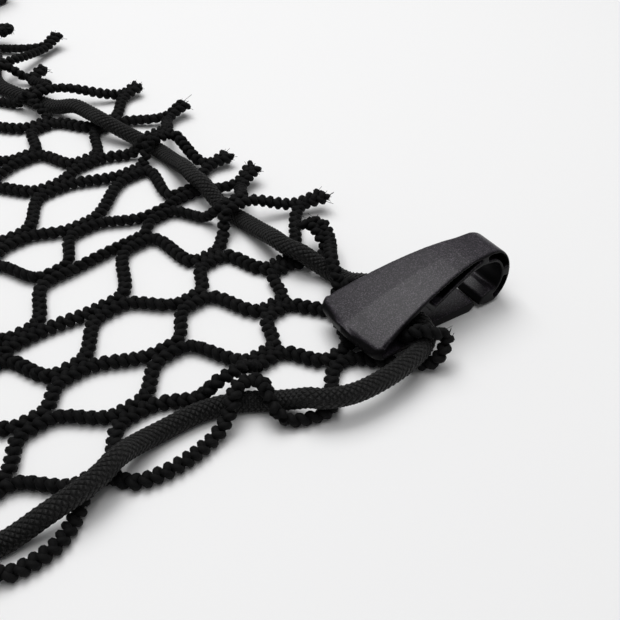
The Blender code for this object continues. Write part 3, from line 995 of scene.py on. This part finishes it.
@dataclass
class KnittedNet:
    """The net: every wale a chain of plump stitches with two legs, and loose fibres at its cut ends."""

    routes: WaleRoutes = field(default_factory=WaleRoutes)
    leg: YarnSizes = YarnSizes(
        radius=1.17, step=0.37, sides=7, plump=0.08, beside=0.58, coil_width=0.76, coil_height=0.9,
        stitch=3.05, turn=4.0, seed=3.0,
    )
    leg_phase: float = 0.12
    flat: Pair = (0.308, 0.305)
    covered: float = 0.0427
    fibre: YarnSizes = YarnSizes(radius=0.1, step=0.7, sides=4)
    fibres_per_end: int = 14
    fibre_seed: int = 11
    fibre_lengths: Pair = (0.8, 2.4)
    fibre_root: float = 1.5
    fibre_spread: float = 0.55
    fibre_bend: float = 0.5
    fibre_floor: float = 0.3

    def build(self, tree: YarnTree, knit: Material) -> None:
        """Args:
            tree: The yarn tree.
            knit: The yarn's finish.
        """
        wales = range(self.routes.first_wale, self.routes.last_wale + 1)
        lines = [self.routes.bent(wale) for wale in wales]
        pieces = []
        for leg in Leg:
            sizes = replace(self.leg, hand=leg.value, phase=self.leg_phase * leg.value)
            for place, start in enumerate(("odd", "even")):
                name = f"net_{leg.name.lower()}_legs_{start}_wales"
                pieces.append(sweep(name, lines[place::2], sizes, tree, knit))
        pieces.append(sweep("tuft_fibres", self._hairs(lines), self.fibre, tree, knit))
        for piece in pieces:
            dress(piece, "net")

    def _hairs(self, lines: list[list[Vector]]) -> list[list[Vector]]:
        """Gives the lines of the short fibres that stand from the cut ends of the wales.

        Args:
            lines: The wales' lines.

        Returns:
            The fibres' lines.
        """
        dice = random.Random(self.fibre_seed)
        hairs = []
        ends = [end for line in lines for end in ((line[0], line[4]), (line[-1], line[-5]))]
        for tip, inner in ends:
            way = (tip - inner).normalized()
            for _ in range(self.fibres_per_end):
                aside = Vector([dice.uniform(-1.0, 1.0) for _ in range(3)])
                start, length = tip - way * self.fibre_root + aside, dice.uniform(*self.fibre_lengths)
                lean = way + aside * self.fibre_spread
                bend = Vector([dice.uniform(-self.fibre_bend, self.fibre_bend) for _ in range(3)])
                hair = [start + lean * length * part + bend * length * part**2 for part in QUARTERS]
                for point in hair:
                    point.z = max(point.z, self.fibre_floor)
                hairs.append(hair)
        return hairs


@dataclass
class BorderCord:
    """The braided elastic cord that is woven round the net's edge as a ring."""

    radius: float = 3.0
    carriers: int = 9
    cell: float = 1.9
    cell_height: float = 0.45
    parts: int = 3

    def build(self, tree: YarnTree, braid: Material) -> None:
        """Makes the cord along its route, with a whole number of cells in the ring.

        Args:
            tree: The yarn tree.
            braid: The cord's finish.
        """
        line = cord_line()
        length = sum((end - start).length for start, end in zip(line, line[1:] + line[:1]))
        cell = length / round(length / self.cell)
        sizes = YarnSizes(
            radius=self.radius, step=cell / self.parts, sides=self.parts * self.carriers,
            carriers=float(self.carriers), cell=cell, braid_height=self.cell_height,
        )
        cord = sweep("braided_border_cord", [line], sizes, tree, braid, closed=True)
        dress(cord, "border_cord")


# --------------- the snap hooks


class Point(NamedTuple):
    """A point of the hook in its own frame: along it from its wide end, and up from the floor."""

    along: float
    up: float


def points(*pairs: Pair) -> tuple[Point, ...]:
    """Gives the points of an outline."""
    return tuple(Point(*pair) for pair in pairs)


def share(value: float) -> float:
    """Keeps a number between nought and one."""
    return min(max(value, 0.0), 1.0)


class Corner(Enum):
    """The net's corners, with the sign of X and Y there."""

    BACK_RIGHT = (1, 1)
    BACK_LEFT = (-1, 1)
    FRONT_RIGHT = (1, -1)
    FRONT_LEFT = (-1, -1)


@dataclass
class SnapHook:
    """A hook moulded in one with its springy tongue. One shape is built and set at each corner."""

    at: Pair = (159.25, 130.23)
    yaw: float = math.radians(81.3)
    tall: float = 1.17
    ridge: float = 1.3
    ridge_depth: float = 1.3
    keel: float = 1.3
    keel_depths: Pair = (1.2, 1.9)
    end_point: float = 2.3
    arc_centre: Point = Point(50.8, 9.1)
    arc_radius: float = 9.5
    mouth_radius: float = 5.8
    corner: float = 3.0
    arc_steps: int = 24
    depth: float = 20.0
    tongue_half_width: float = 6.0
    slot_web: float = 1.5
    rim: float = 0.7
    end_rim: float = 1.7
    end_rim_reach: float = 5.0
    voxel: float = 0.28
    share_kept: float = 0.11
    nose_angles: Pair = (92.0, -66.0)
    mouth_angles: Pair = (-50.0, 90.0)
    corner_angles: Pair = (180.0, 96.0)
    corner_steps: int = 6
    top_curve: Triple = (8.68, 0.3837, -0.00343)
    top_drop: float = -0.003
    top_drop_from: float = 34.0
    width_curve: Triple = (15.36, -0.2027, 0.000264)
    nose_width: float = 6.7
    nose_taper: float = -0.02
    nose_from: float = 40.0
    recess_edge: float = 0.5
    recess_from: float = 0.6
    arc_slot_past: float = 0.1
    softness: float = 0.5
    soft_rounds: int = 7
    top_places: tuple[float, ...] = (-2.4, 0.0, 6.0, 12.0, 18.0, 24.0, 30.0, 36.0, 42.0, 46.0)
    side_places: tuple[float, ...] = (12.0, 24.0, 34.0, 44.0, 54.0, 62.0)
    chamber: tuple[Point, ...] = points((16.0, 12.4), (9.0, 10.4), (2.5, 8.3), (2.5, 6.5), (27.0, 2.1))
    mouth_roof: tuple[Point, ...] = points(
        (47.5, 15.5), (43.8, 14.7), (38.3, 13.7), (31.7, 12.1), (25.6, 10.0), (24.6, 10.3), (21.0, 13.8)
    )
    tongue: tuple[Point, ...] = points((46.0, 3.2), (46.9, 1.4), (44.6, 0.0), (27.0, 0.0), (-2.4, 6.8))
    lip: tuple[Point, ...] = points((50.2, 0.9), (47.4, 1.9), (49.0, 4.0), (52.2, 5.2))
    beside_tongue: tuple[Point, ...] = points(
        (27.0, -1.0), (47.2, -1.0), (47.2, 3.3), (46.0, 6.5), (27.0, 6.5)
    )
    long_slot: tuple[float, ...] = (46.5, 42.0, 38.0, 34.0, 30.0, 26.0, 22.0)
    slot_ledge: float = 0.6
    slot_floor: float = 4.6
    slot_foot: tuple[Point, ...] = points((25.8, 11.5), (47.2, 17.0))
    arc_slots: tuple[Pair, ...] = ((98.0, 15.0), (-7.0, -62.0))
    arc_slot_radii: Pair = (6.7, 8.95)

    def top(self, along: float) -> float:
        """Gives the height of the long upper edge.

        Args:
            along: How far along the hook the place is.

        Returns:
            The height in mm.
        """
        start, slope, bend = self.top_curve
        drop = self.top_drop * max(along - self.top_drop_from, 0.0) ** 2
        return start + slope * along + bend * along**2 + drop

    def half_width(self, along: float) -> float:
        """Gives half the hook's width in plan.

        Args:
            along: How far along the hook the place is.

        Returns:
            Half the width in mm.
        """
        start, slope, bend = self.width_curve
        nose = self.nose_width + self.nose_taper * (along - self.nose_from)
        return max(start + slope * along + bend * along**2, nose)

    def below_top(self, along: float, up: float) -> float:
        """Gives how deep a place lies under the long upper edge or the round nose.

        Args:
            along: How far along the hook the place is.
            up: How high it is.

        Returns:
            The depth in mm.
        """
        if along < self.arc_centre.along:
            return self.top(along) - up
        return self.arc_radius - math.hypot(along - self.arc_centre.along, up - self.arc_centre.up)

    @staticmethod
    def arc(centre: Point, radius: float, start: float, end: float, steps: int) -> list[Point]:
        """Gives points on a circle in the hook's side view, with the angles in degrees."""
        angles = (math.radians(start + (end - start) * step / steps) for step in range(steps + 1))
        return [Point(centre.along + radius * math.cos(a), centre.up + radius * math.sin(a)) for a in angles]

    def side_outline(self) -> list[Point]:
        """Gives the hook as it is seen from the side: a C with the mouth's slit at the lip.

        Returns:
            The outline's points.
        """
        top = [Point(along, self.top(along)) for along in self.top_places]
        nose = self.arc(self.arc_centre, self.arc_radius, *self.nose_angles, self.arc_steps)
        mouth = self.arc(self.arc_centre, self.mouth_radius, *self.mouth_angles, self.arc_steps)
        return [*top, *nose, *self.lip, *mouth, *self.mouth_roof, *self.chamber, *self.tongue]

    def plan_outline(self) -> list[Point]:
        """Gives the hook as it is seen from above, with its two wide corners rounded.

        Returns:
            The outline's points.
        """
        centre = Point(self.corner, self.half_width(0.0) - self.corner)
        near = self.arc(centre, self.corner, *self.corner_angles, self.corner_steps)
        near += [Point(along, self.half_width(along)) for along in self.side_places]
        far = [Point(point.along, -point.up) for point in reversed(near)]
        return [*near, *far, Point(-self.end_point, 0.0)]

    @staticmethod
    def prism(name: str, outline: Sequence[Point], low: float, high: float, upright: bool = True) -> Object:
        """Extrudes an outline.

        Args:
            name: The solid's name.
            outline: The outline's points.
            low: Where the extrusion starts.
            high: Where it ends.
            upright: Whether the outline stands in the XZ plane, and not in XY.

        Returns:
            The solid as an object, in metres.
        """
        solid = bmesh.new()
        rings = []
        for depth in (low, high):
            places = [(p.along, depth, p.up) if upright else (p.along, p.up, depth) for p in outline]
            rings.append([solid.verts.new(Vector(place) * MM) for place in places])
        solid.faces.new(rings[0])
        solid.faces.new(rings[1][::-1])
        for place in range(len(outline)):
            after = (place + 1) % len(outline)
            solid.faces.new((rings[0][place], rings[1][place], rings[1][after], rings[0][after]))
        bmesh.ops.recalc_face_normals(solid, faces=solid.faces)
        mesh = bpy.data.meshes.new(name)
        solid.to_mesh(mesh)
        solid.free()
        return new_object(name, mesh)

    @staticmethod
    def cut(solid: Object, cutters: Sequence[Object], operation: str) -> Object:
        """Cuts a solid with others, removes those, and gives the result as a plain object.

        Args:
            solid: The solid.
            cutters: The solids that cut it.
            operation: The kind of cut.

        Returns:
            The cut solid.
        """
        for cutter in cutters:
            boolean = solid.modifiers.new(cutter.name, "BOOLEAN")
            boolean.operation, boolean.object, boolean.solver = operation, cutter, "EXACT"
        made = plain_mesh(solid, solid.name)
        for cutter in cutters:
            bpy.data.objects.remove(cutter, do_unlink=True)
        return made

    def inset(self, along: float, across: float) -> float:
        """Gives how far a place in plan lies inside the plan outline.

        Args:
            along: How far along the hook the place is.
            across: How far it is from the middle.

        Returns:
            The distance in mm, below nought outside.
        """
        side = self.half_width(0.0) - self.corner
        if along < self.corner and across > side:
            return self.corner - math.hypot(self.corner - along, across - side)
        end = -self.end_point * max(1.0 - across / side, 0.0)
        return min(along - end, self.half_width(along) - across)

    def _roof_and_keel(self, mesh: Mesh) -> None:
        """Raises a shallow roof on top and a keel at the wide end, and rounds the upper rim.

        Args:
            mesh: The hook's even skin, in metres.
        """
        foot, end = self.tongue[3].along, self.tongue[4]
        keel_thick, keel_end = self.keel_depths[1] - self.keel_depths[0], self.keel_depths[1]
        for vertex in mesh.vertices:
            along, across, up = vertex.co.x / MM, abs(vertex.co.y) / MM, vertex.co.z / MM
            near_top = share(1.0 - self.below_top(along, up) / self.ridge_depth)
            fade = max(1.0 - along / self.arc_centre.along, 0.0)
            lift = self.ridge * fade * near_top * (1.0 - min(across / self.half_width(along), 1.0))
            plate = up - end.up * (foot - along) / (foot - end.along)
            low = share((keel_end - plate) / keel_thick) * share((foot - along) / foot)
            lift += self.keel * low * (1.0 - min(across / self.half_width(0.0), 1.0))
            vertex.co.z += lift * MM
            self._round_rim(vertex, along, across, up)

    def _round_rim(self, vertex: MeshVertex, along: float, across: float, up: float) -> None:
        """Draws a vertex near the upper rim inwards, so that the rim becomes a rounded edge.

        Args:
            vertex: The vertex to move.
            along: How far along the hook it was.
            across: How far it is from the middle.
            up: How high it was.
        """
        gap = self.inset(along, across)
        rim = self.rim + (self.end_rim - self.rim) * share(1.0 - along / self.end_rim_reach)
        if gap >= rim:
            return
        sink = rim - math.sqrt(rim**2 - (rim - max(gap, 0.0)) ** 2)
        inward = Vector((0.0, 0.0, -1.0))
        if along >= self.arc_centre.along:
            inward = Vector((self.arc_centre.along - along, 0.0, self.arc_centre.up - up)).normalized()
        weight = share(1.0 - self.below_top(along, up) / (2.0 * rim))
        vertex.co += inward * (sink * weight * MM)

    def _map_recesses(self, mesh: Mesh) -> None:
        """Stores on the UV map how far along the hook a place lies, and how much painted shade it gets
        inside the moulded recesses.

        Args:
            mesh: The hook's finished mesh, in metres.
        """
        layer = mesh.uv_layers.new(name="UVMap")
        arc_floor = self.arc_radius - self.arc_slot_radii[0] + self.arc_slot_past
        for loop in mesh.loops:
            place = mesh.vertices[loop.vertex_index].co / MM
            floor = self.slot_floor if place.x < self.arc_centre.along else arc_floor
            depth = self.below_top(place.x, place.z)
            cut_away = self.slot_ledge < depth < floor and place.x > self.long_slot[-1]
            inside = self.half_width(place.x) - abs(place.y)
            # The share of painted shade inside the moulded recesses, kept in the UV map's second part.
            recess = share(inside / self.recess_edge - self.recess_from) * cut_away
            layer.data[loop.index].uv = (place.x / self.arc_centre.along, recess)

    def _slots(self) -> list[list[Point]]:
        """Gives the outlines of the recesses that are moulded into both sides.

        Returns:
            The outlines, each a list of points.
        """
        inner, outer = self.arc_slot_radii
        edge = [Point(along, self.top(along) - self.slot_ledge) for along in self.long_slot]
        outlines = [[*edge, *self.slot_foot]]
        for start, end in self.arc_slots:
            rim = self.arc(self.arc_centre, outer, start, end, self.arc_steps // 2)
            outlines.append(rim + self.arc(self.arc_centre, inner, end, start, self.arc_steps // 2))
        return outlines

    def _sunk(self, outlines: Iterable[Sequence[Point]], inner: float) -> list[Object]:
        """Makes the cutters that take outlines away from both sides, up to a distance from the middle.

        Args:
            outlines: The outlines to take away.
            inner: The distance from the middle.

        Returns:
            The cutters.
        """
        return [
            self.prism(f"side_cutter_{place}_{low:+.0f}", outline, low, high)
            for place, outline in enumerate(outlines)
            for low, high in ((inner, self.depth), (-self.depth, -inner))
        ]

    def shape(self, material: Material) -> Mesh:
        """Builds the hook in its own frame, with rounded edges.

        Args:
            material: The hook's finish.

        Returns:
            The hook's mesh.
        """
        hook = self.prism("hook", self.side_outline(), -self.depth, self.depth)
        plan = self.prism("hook_plan", self.plan_outline(), -self.depth, 2 * self.depth, upright=False)
        hook = self.cut(hook, [plan], "INTERSECT")
        sides = self._sunk([self.beside_tongue], self.tongue_half_width)
        for cutters in (sides, self._sunk(self._slots(), self.slot_web)):
            hook = self.cut(hook, cutters, "DIFFERENCE")
        remesh = hook.modifiers.new("even_skin", "REMESH")
        remesh.mode, remesh.voxel_size = "VOXEL", self.voxel * MM
        hook = plain_mesh(hook, "hook_skin", material)
        self._roof_and_keel(hook.data)
        soften = hook.modifiers.new("rounded_edges", "SMOOTH")
        soften.factor, soften.iterations = self.softness, self.soft_rounds
        hook.modifiers.new("fewer_faces", "DECIMATE").ratio = self.share_kept
        hook = plain_mesh(hook, "hook_shape", material)
        mesh = hook.data
        bpy.data.objects.remove(hook, do_unlink=True)
        self._map_recesses(mesh)
        mesh.shade_smooth()
        return mesh

    def build(self, plastic: Material) -> None:
        """Sets a hook at each corner. The hook is even about its middle, so a turn mirrors it.

        Args:
            plastic: The hook's finish.
        """
        shape = self.shape(plastic)
        for corner in Corner:
            right, back = corner.value
            turn = math.atan2(back * math.sin(self.yaw), right * math.cos(self.yaw))
            mesh = shape.copy()
            place = Matrix.Translation((right * self.at[0] * MM, back * self.at[1] * MM, 0.0))
            stretch = Matrix.Diagonal((1.0, 1.0, self.tall, 1.0))
            mesh.transform(place @ Matrix.Rotation(turn, 4, "Z") @ stretch)
            name = corner.name.lower()
            dress(new_object(f"snap_hook_{name}", mesh), f"hook_{name}")
        bpy.data.meshes.remove(shape)


# --------------- studio


@dataclass
class Studio:
    """The pale floor, the soft lights and the camera."""

    eye: Triple = (0.31795, -0.02621, 0.19915)
    forward: Triple = (-0.577, 0.515, -0.634)
    right: Triple = (0.666, 0.746, 0.0)
    sensor: float = 36.0
    focal_pixels: float = 964.5
    picture_pixels: float = 620.0
    near: float = 0.01
    key: tuple[Triple, float, float] = ((-0.45, 0.35, 1.2), 0.9, 9.6)
    above: tuple[Triple, float, float] = ((0.1, 0.1, 1.5), 1.6, 13.5)
    lit_place: Triple = (0.11, 0.09, 0.0)
    sky: float = 0.2
    floor_half: float = 3.0
    floor_tones: tuple[Colour, Colour] = ((0.84, 0.84, 0.845), (0.87, 0.87, 0.87))

    def build(self) -> None:
        """Makes the camera, the floor and the lights."""
        self._camera()
        self._floor()
        self._light("key", *self.key)
        self._light("above", *self.above)
        world = bpy.data.worlds.new("studio")
        world.use_nodes = True
        background = world.node_tree.nodes["Background"]
        background.inputs[0].default_value = (1.0, 1.0, 1.0, 1.0)
        background.inputs[1].default_value = self.sky
        bpy.context.scene.world = world
        bpy.context.scene.view_settings.view_transform = "Standard"

    def _camera(self) -> None:
        """Sets the camera at the photograph's angle."""
        forward = Vector(self.forward).normalized()
        right = (Vector(self.right) - forward * Vector(self.right).dot(forward)).normalized()
        up = right.cross(forward)
        data = bpy.data.cameras.new("camera")
        data.sensor_width, data.clip_start = self.sensor, self.near
        data.lens = self.focal_pixels / self.picture_pixels * self.sensor
        camera = new_object("camera", data)
        axes = Matrix((right, up, -forward)).transposed()
        camera.matrix_world = Matrix.Translation(self.eye) @ axes.to_4x4()
        bpy.context.scene.camera = camera

    def _floor(self) -> None:
        """Makes the pale surface that the net lies on."""
        material, maker, shader = new_material("pale_floor")
        cloud = maker.noise(maker.add("ShaderNodeTexCoord").outputs["Object"], 2.0, 2.0)
        dark, light = ((*tone, 1.0) for tone in self.floor_tones)
        tone = maker.mix(cloud, dark, light)
        maker.feed(shader, {"Base Color": tone, "Roughness": 0.6, "Specular IOR Level": 0.2})
        mesh, half = bpy.data.meshes.new("floor"), self.floor_half
        corners = [(-half, -half, 0), (half, -half, 0), (half, half, 0), (-half, half, 0)]
        mesh.from_pydata(corners, [], [(0, 1, 2, 3)])
        mesh.materials.append(material)
        new_object("floor", mesh)

    def _light(self, name: str, at: Sequence[float], size: float, power: float) -> None:
        """Adds a soft square light that faces the corner in the photograph.

        Args:
            name: The light's name.
            at: Where it hangs, in metres.
            size: Its width in metres.
            power: Its power in watts.
        """
        data = bpy.data.lights.new(name, "AREA")
        data.size, data.energy = size, power
        light = new_object(name, data)
        light.location = at
        light.rotation_euler = (Vector(self.lit_place) - Vector(at)).to_track_quat("-Z", "Y").to_euler()


def main() -> None:
    """Builds the studio and every piece of the net."""
    logging.basicConfig(level=logging.INFO, format="%(name)s %(message)s")
    Studio().build()
    fibres = FibreGroup()
    tree = YarnTree()
    KnittedNet().build(tree, KnitFinish().make(fibres))
    BorderCord().build(tree, BraidFinish().make(fibres))
    SnapHook().build(PlasticFinish().make())


if __name__ == "__main__":
    main()
